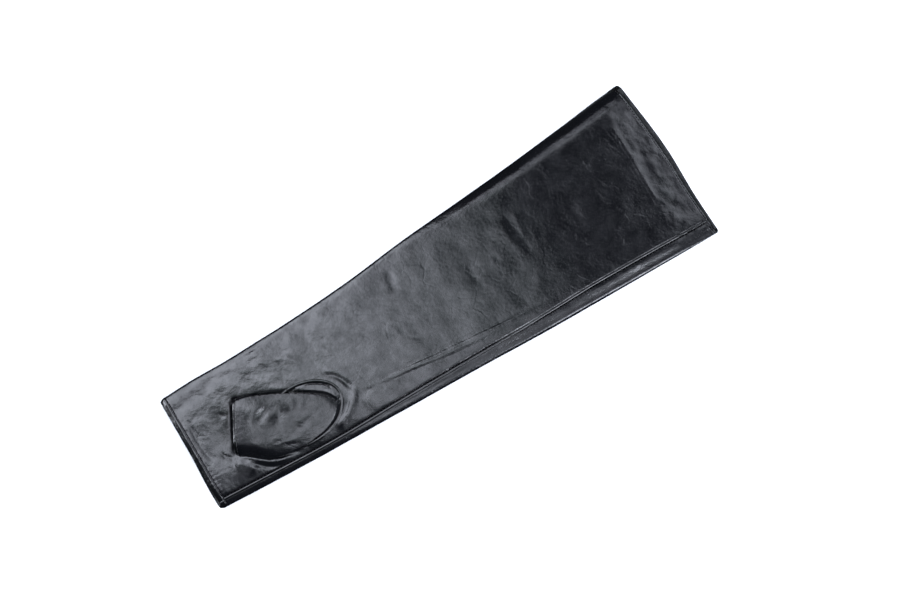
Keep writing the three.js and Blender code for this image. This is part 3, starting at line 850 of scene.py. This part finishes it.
def thumb_tube():
    angle = turns(AROUND)

    def root(offset, depth):
        x, y = hole_points(angle, offset)
        return np.stack([x, y, palm_height(x, y) - depth], -1)

    def tube(depth):
        share = np.linspace(0, 1, ALONG + 1)[:, None]
        end = thumb_place(angle, THUMB_HEM + HEM_GAP)
        points = thumb_skin(share * end, angle[None, :], depth)
        points[..., 2] += thumb_relief(points, np.broadcast_to(np.cos(angle), points.shape[:2]))
        return points

    outside, inside = tube(0.0), tube(LEATHER)
    upper, lower = LEATHER + COLLAR["air"], 2 * LEATHER + COLLAR["air"]
    start, end = root(COLLAR["in"], COLLAR["top"]), root(COLLAR["lining"], COLLAR["top"])
    collar = [root(COLLAR["out"], upper), root(COLLAR["in"], upper), start]
    easing = [start + (outside[0] - start) * share for share in (0.33, 0.66)]
    lining = [end, root(COLLAR["lining"], lower), root(COLLAR["out"], lower)]
    rows = np.array(collar + easing + list(outside) + list(inside[::-1]) + lining)
    return closed_object("thumb_tube", rows, grid_faces(rows.shape[0], rows.shape[1]))


thumb = report(thumb_tube())

# %% Thumb hem
THUMB_EDGE = {"leaf": 3.5, "puff": 0.1, "lean": 0.55}
# how far the hem's inner line strays from its width as it goes round
STRAY = {"inwards": 0.8, "wave": 0.5, "waves": 3, "turn": 0.6}


def thumb_mouth_hem():
    angle = turns(AROUND)
    stray = STRAY["inwards"] + STRAY["wave"] * np.sin(STRAY["waves"] * angle + STRAY["turn"])
    rows = []
    for inward, depth in hem_profile(THUMB_HEM, **THUMB_EDGE):
        place = thumb_place(angle, inward + stray * inward / THUMB_HEM * (inward <= THUMB_HEM))
        rows.append(thumb_skin(place, angle, depth))
    rows = np.array(rows)
    return closed_object("thumb_edge_hem", rows, grid_faces(rows.shape[0], rows.shape[1]))


thumb_hem = report(thumb_mouth_hem())

# %% [markdown]
# ## Rolled edges by Geometry Nodes
# The rim round the thumb hole and the welt along the side seam are both a narrow roll of leather
# that follows a path. A node tree that sweeps a small oval along a curve makes either, and its
# named inputs give each roll its own width and height. A path is a thin mesh line, and the oval
# stays upright all along it.

# %% Tree that rolls an edge
def wire(tree, *links):
    """Joins an output of one node to an input of another, for each link."""
    for giver, output, taker, socket in links:
        tree.links.new(giver.outputs[output], taker.inputs[socket])


def add(tree, kind, **values):
    """A new node with values for its inputs, such as from_max for From Max."""
    node = tree.nodes.new(kind)
    for name, value in values.items():
        node.inputs[name.replace("_", " ").title()].default_value = value
    return node


def new_tree(name, inputs, output):
    """A node tree with named inputs and one output, and the nodes for them."""
    tree = bpy.data.node_groups.new(name, "GeometryNodeTree")
    for socket, kind in inputs.items():
        tree.interface.new_socket(socket, in_out="INPUT", socket_type=f"NodeSocket{kind}")
    tree.interface.new_socket(output, in_out="OUTPUT", socket_type="NodeSocketGeometry")
    return tree, tree.nodes.new("NodeGroupInput"), tree.nodes.new("NodeGroupOutput")


def rolled_edge_tree():
    inputs = {"Path": "Geometry", "Half Width": "Float", "Half Height": "Float", "Leather": "Material"}
    tree, given, result = new_tree("rolled_edge", inputs, "Roll")
    node = tree.nodes.new
    to_curve, upright = node("GeometryNodeMeshToCurve"), node("GeometryNodeSetCurveNormal")
    oval = add(tree, "GeometryNodeCurvePrimitiveCircle", resolution=20, radius=1)
    scale, stretch = node("ShaderNodeCombineXYZ"), node("GeometryNodeTransform")
    sweep = add(tree, "GeometryNodeCurveToMesh", fill_caps=True)
    smoothed, paint = node("GeometryNodeSetShadeSmooth"), node("GeometryNodeSetMaterial")
    upright.mode = "Z_UP"
    wire(
        tree,
        (given, "Path", to_curve, "Mesh"),
        (to_curve, "Curve", upright, "Curve"),
        (given, "Half Width", scale, "X"),
        (given, "Half Height", scale, "Y"),
        (scale, "Vector", stretch, "Scale"),
        (oval, "Curve", stretch, "Geometry"),
        (upright, "Curve", sweep, "Curve"),
        (stretch, "Geometry", sweep, "Profile Curve"),
        (sweep, "Mesh", smoothed, "Geometry"),
        (smoothed, "Geometry", paint, "Geometry"),
        (given, "Leather", paint, "Material"),
        (paint, "Geometry", result, "Roll"),
    )
    return tree


# %% Grow a mesh from a tree
def path_object(name, points, closed, normals=None):
    """A mesh line along points in millimetres, with the skin's direction stored on it."""
    mesh = bpy.data.meshes.new(name)
    count = len(points)
    edges = [(i, (i + 1) % count) for i in range(count if closed else count - 1)]
    mesh.from_pydata((np.asarray(points) * MM).tolist(), edges, [])
    if normals is not None:
        stored = mesh.attributes.new("skin_normal", "FLOAT_VECTOR", "POINT")
        stored.data.foreach_set("vector", np.ravel(normals))
    return place_object(name, mesh)


def grow(path, tree, **inputs):
    """Runs a node tree on a path and keeps the result as a plain mesh."""
    sockets = {item.name: item.identifier for item in tree.interface.items_tree if item.in_out == "INPUT"}
    modifier = path.modifiers.new("grow", "NODES")
    modifier.node_group = tree
    for name, value in inputs.items():
        modifier[sockets[name.replace("_", " ").title()]] = value
    keep_result(path)
    return path


# %% [markdown]
# ## Leather, as nodes
# Nappa is skin with its fine pores left open: a tiny grain, wandering creases where it has been
# bent, and a finish that is glossier in some patches than in others. A bump from three sizes of
# pattern gives the surface. One noise varies the colour and the roughness, and another the thin
# coat of polish. Everything reads Object coordinates, so the pattern is fixed to the glove at
# its real size.

# %% Leather material
def two_colours(tree, dark, light):
    """A node that mixes a dark and a light colour."""
    colour = add(tree, "ShaderNodeMix")
    colour.data_type = "RGBA"
    colour.inputs["A"].default_value = (*dark, 1)
    colour.inputs["B"].default_value = (*light, 1)
    return colour


def leather_material(name, dark, light, rough, grain):
    material, tree, shader = new_material(name, rough)
    shader.inputs["Specular IOR Level"].default_value = 0.5
    shader.inputs["Coat Roughness"].default_value = 0.15
    place = add(tree, "ShaderNodeTexCoord")

    # the surface: pores, wandering creases that are deeper where the skin is worn, soft patches
    pores = add(tree, "ShaderNodeTexVoronoi", scale=1300)
    wrinkle_warp = add(tree, "ShaderNodeTexNoise", scale=60)
    warp = add(tree, "ShaderNodeVectorMath")
    warp.operation = "MULTIPLY_ADD"
    warp.inputs[1].default_value = (0.012, 0.012, 0.012)
    wrinkles = add(tree, "ShaderNodeTexVoronoi", scale=85)
    wrinkles.feature = "DISTANCE_TO_EDGE"
    lines = add(tree, "ShaderNodeMapRange", from_max=0.07)
    worn = add(tree, "ShaderNodeMapRange", from_min=0.48, from_max=0.66, to_max=0.45)
    patches = add(tree, "ShaderNodeTexNoise", scale=420, detail=3)
    grain_bump = add(tree, "ShaderNodeBump", strength=grain, distance=0.00008)
    line_bump = add(tree, "ShaderNodeBump", distance=0.00015)
    patch_bump = add(tree, "ShaderNodeBump", strength=0.5, distance=0.0003)

    # the finish: a mottled dye, and polish that has worn off in places
    mottle = add(tree, "ShaderNodeTexNoise", scale=70, detail=5, roughness=0.6)
    colour = two_colours(tree, dark, light)
    gloss = add(tree, "ShaderNodeMapRange", from_min=0.3, from_max=0.7)
    gloss.inputs["To Min"].default_value = rough - 0.06
    gloss.inputs["To Max"].default_value = rough + 0.07
    finish = add(tree, "ShaderNodeTexNoise", scale=95, detail=6, roughness=0.68)
    polish = add(tree, "ShaderNodeMapRange", from_min=0.38, from_max=0.62, to_max=0.42)
    patterns = (pores, wrinkle_warp, mottle, patches, finish)
    wire(
        tree,
        *((place, "Object", pattern, "Vector") for pattern in patterns),
        (finish, "Fac", polish, "Value"),
        (polish, "Result", shader, "Coat Weight"),
        (wrinkle_warp, "Color", warp, 0),
        (place, "Object", warp, 2),
        (warp, "Vector", wrinkles, "Vector"),
        (wrinkles, "Distance", lines, "Value"),
        (mottle, "Fac", colour, "Factor"),
        (colour, "Result", shader, "Base Color"),
        (mottle, "Fac", gloss, "Value"),
        (gloss, "Result", shader, "Roughness"),
        (pores, "Distance", grain_bump, "Height"),
        (lines, "Result", line_bump, "Height"),
        (wrinkle_warp, "Fac", worn, "Value"),
        (worn, "Result", line_bump, "Strength"),
        (patches, "Fac", patch_bump, "Height"),
        (patch_bump, "Normal", line_bump, "Normal"),
        (line_bump, "Normal", grain_bump, "Normal"),
        (grain_bump, "Normal", shader, "Normal"),
    )
    return material


nappa = leather_material("black_nappa", (0.0015, 0.0017, 0.0022), (0.0034, 0.0037, 0.0048), 0.17, 0.5)
edge_leather = leather_material("turned_nappa", (0.0015, 0.0017, 0.002), (0.003, 0.0033, 0.0039), 0.18, 0.3)


def thread_material():
    material, tree, shader = new_material("black_thread", 0.55)
    place, twist = add(tree, "ShaderNodeTexCoord"), add(tree, "ShaderNodeTexNoise", scale=2500)
    colour = two_colours(tree, (0.003, 0.003, 0.004), (0.009, 0.009, 0.010))
    wire(
        tree,
        (place, "Object", twist, "Vector"),
        (twist, "Fac", colour, "Factor"),
        (colour, "Result", shader, "Base Color"),
    )
    return material


thread = thread_material()
print("materials:", [m.name for m in (nappa, edge_leather, thread)])

# %% Rim and welt
rolled = rolled_edge_tree()
RIM = {"half_width": 1.1, "half_height": 0.75, "out": 0.6, "points": 240}
WELT = {"half_width": 1.0, "half_height": 0.65, "sink": 0.3, "lean": 0.6, "inset": 0.3, "points": 400}
# the welt changes sides over the 60 mm that begin at the glove's middle
WELT_TURN = (0, 60)


def roll(name, points, size, closed):
    path = path_object(name, points, closed)
    sizes = {key: size[key] * MM for key in ("half_width", "half_height")}
    return grow(path, rolled, leather=edge_leather, **sizes)


def hole_rim():
    x, y = hole_points(turns(RIM["points"]), RIM["out"])
    return roll("thumb_rim", np.stack([x, y, palm_height(x, y)], -1), RIM, closed=True)


def seam_lean(x):
    """The welt leans to the edge along the hand, and to the palm along the arm."""
    return WELT["lean"] * (2 * rises(x, *WELT_TURN) - 1)


def side_welt():
    start, end = HAND_MOUTH[0] + HAND_HEM + WELT["inset"], ARM_MOUTH[0] - ARM_HEM - WELT["inset"]
    x = np.linspace(start, end, WELT["points"])
    y = seam_line(x) + seam_lean(x)
    z = palm_height(x, y) + SEAM_GROOVE["depth"] - WELT["sink"]
    return roll("seam_welt", np.stack([x, y, z], -1), WELT, closed=False)


rim, welt = report(hole_rim()), report(side_welt())

# %% [markdown]
# ## Stitches by Geometry Nodes
# Glove hems are sewn with a fine lockstitch, about ten stitches to the inch, in black thread. A
# tree spaces points along the stitch line, turns a small bead along the line and up from the
# skin, and realizes the copies. A little random turn, with a fixed seed, keeps them from looking
# stamped.

# %% Tree that sews
# the most that a stitch turns out of line, in radians
JITTER = (0.05, 0.03, 0.09)


def stitch_tree():
    sizes = {name: "Float" for name in ("Pitch", "Length", "Thickness")}
    inputs = {"Path": "Geometry", **sizes, "Thread": "Material"}
    tree, given, result = new_tree("stitch_line", inputs, "Stitches")
    node = tree.nodes.new
    to_curve, space = node("GeometryNodeMeshToCurve"), node("GeometryNodeResampleCurve")
    bead = add(tree, "GeometryNodeMeshUVSphere", segments=6, rings=6, radius=0.5)
    size, place = node("ShaderNodeCombineXYZ"), node("GeometryNodeInstanceOnPoints")
    tangent, normal = node("GeometryNodeInputTangent"), node("GeometryNodeInputNamedAttribute")
    along, upwards = node("FunctionNodeAlignRotationToVector"), node("FunctionNodeAlignRotationToVector")
    jitter, turned = node("FunctionNodeRandomValue"), node("GeometryNodeRotateInstances")
    real, smoothed = node("GeometryNodeRealizeInstances"), node("GeometryNodeSetShadeSmooth")
    paint = node("GeometryNodeSetMaterial")
    if "Mode" in space.inputs:
        space.inputs["Mode"].default_value = "Length"
    else:
        space.mode = "LENGTH"
    normal.data_type = "FLOAT_VECTOR"
    normal.inputs["Name"].default_value = "skin_normal"
    along.axis, upwards.axis, upwards.pivot_axis = "X", "Z", "X"
    jitter.data_type = "FLOAT_VECTOR"
    jitter.inputs["Min"].default_value = [-turn for turn in JITTER]
    jitter.inputs["Max"].default_value = JITTER
    jitter.inputs["Seed"].default_value = 7
    wire(
        tree,
        (given, "Path", to_curve, "Mesh"),
        (to_curve, "Curve", space, "Curve"),
        (given, "Pitch", space, "Length"),
        (space, "Curve", place, "Points"),
        (bead, "Mesh", place, "Instance"),
        (given, "Length", size, "X"),
        (given, "Thickness", size, "Y"),
        (given, "Thickness", size, "Z"),
        (size, "Vector", place, "Scale"),
        (tangent, "Tangent", along, "Vector"),
        (along, "Rotation", upwards, "Rotation"),
        (normal, "Attribute", upwards, "Vector"),
        (upwards, "Rotation", place, "Rotation"),
        (place, "Instances", turned, "Instances"),
        (jitter, "Value", turned, "Rotation"),
        (turned, "Instances", real, "Geometry"),
        (real, "Geometry", smoothed, "Geometry"),
        (smoothed, "Geometry", paint, "Geometry"),
        (given, "Thread", paint, "Material"),
        (paint, "Geometry", result, "Stitches"),
    )
    return tree


# %% Sew the stitch lines
stitching = stitch_tree()
STITCH = {"pitch": 2.5, "length": 1.9, "thickness": 0.5}
# how deep the thread sinks into the skin
SUNK = {"back": 0.35, "palm": 0.12, "seam": 0.35, "thumb": -0.02}
# the seam's stitches lie beside the welt, on its other side, and end short of both mouths
SEAM_STITCHES = {"beside": 1.25, "inset": 2, "points": 300}


def outward(points, centre_line):
    """Unit directions from a centre line out to the points."""
    arrows = points - centre_line
    return arrows / np.linalg.norm(arrows, axis=-1, keepdims=True)


def sew(name, points, normals, closed):
    path = path_object(name, points, closed, normals)
    sizes = {key: value * MM for key, value in STITCH.items()}
    return report(grow(path, stitching, thread=thread, **sizes))


def hem_stitches(name, edge, inwards, width):
    """A line of stitches round one end of the sleeve, where the hem meets the skin."""
    places = (edge + inwards * width)[None, :]
    depth = SUNK["back"] + (SUNK["palm"] - SUNK["back"]) * FOLLOWS_PALM
    at, deeper = skin(places, depth)[0], skin(places, LEATHER)[0]
    return sew(name, at, outward(at, deeper), closed=False)


hand_stitches = hem_stitches("hand_hem_stitches", HAND_MOUTH, 1, HAND_HEM)
arm_stitches = hem_stitches("arm_hem_stitches", ARM_MOUTH, -1, ARM_HEM)

seam_start, seam_end = HAND_MOUTH[0] + SEAM_STITCHES["inset"], ARM_MOUTH[0] - SEAM_STITCHES["inset"]
x = np.linspace(seam_start, seam_end, SEAM_STITCHES["points"])
y = seam_line(x) - SEAM_STITCHES["beside"] * seam_lean(x)
seam_points = np.stack([x, y, palm_height(x, y) - SUNK["seam"]], -1)
straight_up = np.tile((0.0, 0.0, 1.0), (len(x), 1))
seam_stitches = sew("side_seam_stitches", seam_points, straight_up, closed=False)

angle = turns(160)
place = thumb_place(angle, THUMB_HEM)
thumb_points, thumb_inner = (thumb_skin(place, angle, depth) for depth in (SUNK["thumb"], LEATHER))
thumb_stitches = sew("thumb_hem_stitches", thumb_points, outward(thumb_points, thumb_inner), closed=True)

# %% [markdown]
# ## The pieces on the glove's body
# Each piece takes its finish, rides on the glove's one body, and stands for the plain solid that
# it was made from. The rolls and the stitches have their finish from their node trees.

# %% Bodies
PIECES = (
    # piece, material, slot, the solid it stands for
    (sleeve, nappa, "nappa_leather", "sleeve"),
    (thumb, nappa, "nappa_leather", "thumb"),
    (hand_hem, edge_leather, "turned_edge", "hand_hem"),
    (arm_hem, edge_leather, "turned_edge", "arm_hem"),
    (thumb_hem, edge_leather, "turned_edge", "thumb_hem"),
    (rim, None, "turned_edge", "thumb_hole_rim"),
    (welt, None, "turned_edge", "side_seam"),
    (hand_stitches, None, "turned_edge", None),
    (arm_stitches, None, "turned_edge", None),
    (seam_stitches, None, "turned_edge", None),
    (thumb_stitches, None, "turned_edge", None),
)

for piece, material, slot, solid in PIECES:
    if material:
        piece.data.materials.clear()
        piece.data.materials.append(material)
    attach(piece, "root")
    if solid:
        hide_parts(solid)
